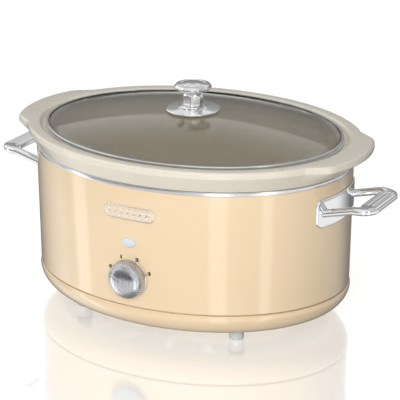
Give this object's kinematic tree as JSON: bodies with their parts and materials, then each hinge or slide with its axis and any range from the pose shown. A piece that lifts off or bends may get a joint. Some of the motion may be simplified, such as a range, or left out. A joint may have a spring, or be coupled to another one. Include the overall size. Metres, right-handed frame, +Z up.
{
  "type": "slow cooker",
  "caption": "Oval electric slow cooker: painted metal casing, lift-out glazed stoneware crock, domed glass lid with a steel rim and knob, end handles and a rotary control on the front.",
  "frame": {"origin": "on the surface the cooker stands on, midway between the outermost points in X and in Y", "axes": "+Z up, +X to the cooker's own long end on the right as seen from the front, the dial and badge face -Y"},
  "size_m": [0.4278, 0.2818, 0.2316],
  "materials": {
    "cream_paint": "gloss stoved enamel",
    "glazed_stoneware": "gloss glaze",
    "lid_glass": "clear tempered, faintly smoked",
    "bright_steel": "bright",
    "chrome": "polished",
    "brushed_metal": "brushed",
    "aluminised_steel": "dull",
    "pale_rubber": "satin",
    "clear_lens": "clear, gloss",
    "black_plastic": "matt",
    "white_plastic": "matt",
    "mica_band": "matt",
    "glass_fibre_mat": "matt, woven",
    "brass": "satin",
    "blue_lead": "satin",
    "green_lead": "satin",
    "brown_lead": "satin",
    "zinc_plate": "bright zinc"
  },
  "bodies": {
    "base": {"badge": "chrome", "band_clamp": "zinc_plate", "band_clamp_screw": "zinc_plate", "base_pan": "cream_paint", "casing": "cream_paint", "cord_gland": "black_plastic", "dial_bezel": "chrome", "foot_front_left": "pale_rubber", "foot_front_right": "pale_rubber", "foot_rear_left": "pale_rubber", "foot_rear_right": "pale_rubber", "foot_screw_front_left": "zinc_plate", "foot_screw_front_right": "zinc_plate", "foot_screw_rear_left": "zinc_plate", "foot_screw_rear_right": "zinc_plate", "fuse_clip": "zinc_plate", "gland_collar": "black_plastic", "handle_left": "chrome", "handle_plate_left": "chrome", "handle_plate_right": "chrome", "handle_right": "chrome", "handle_screw_left_front": "zinc_plate", "handle_screw_left_rear": "zinc_plate", "handle_screw_right_front": "zinc_plate", "handle_screw_right_rear": "zinc_plate", "heater_band": "mica_band", "heating_well": "aluminised_steel", "indicator_lamp": "clear_lens", "indicator_lens": "clear_lens", "insulation_wrap": "glass_fibre_mat", "lamp_clip": "black_plastic", "lead_block_to_switch": "brown_lead", "lead_earth": "green_lead", "lead_fuse_to_heater": "brown_lead", "lead_heater_to_block": "blue_lead", "lead_lamp": "blue_lead", "lead_switch_to_fuse": "brown_lead", "switch_housing": "black_plastic", "switch_nut": "zinc_plate", "switch_terminals": "brass", "terminal_block": "white_plastic", "thermal_fuse": "brass", "tie_post_left": "zinc_plate", "tie_post_right": "zinc_plate", "tie_screw_left": "zinc_plate", "tie_screw_right": "zinc_plate", "top_ring": "bright_steel"},
    "dial": {"dial_knob": "brushed_metal", "knob_core": "black_plastic", "switch_shaft": "brass", "switch_rotor": "black_plastic"},
    "crock": {"crock": "glazed_stoneware"},
    "lid": {"lid_glass": "lid_glass", "lid_knob_cap": "chrome", "lid_knob_flange": "chrome", "lid_knob_screw": "zinc_plate", "lid_knob_stem": "chrome", "lid_knob_washer": "pale_rubber", "lid_rim": "bright_steel"}
  },
  "joints": [
    {"name": "knob_turn", "type": "hinge", "parent": "base", "child": "dial", "pos_m": [0, -0.12529, 0.067], "axis": [0, 1, 0], "range_deg": [0, 135]},
    {"name": "crock_lift", "type": "slide", "parent": "base", "child": "crock", "axis": [0, 0, 1], "range_m": [0, 0.15]},
    {"name": "lid_lift", "type": "slide", "parent": "crock", "child": "lid", "axis": [0, 0, 1], "range_m": [0, 0.15]}
  ]
}
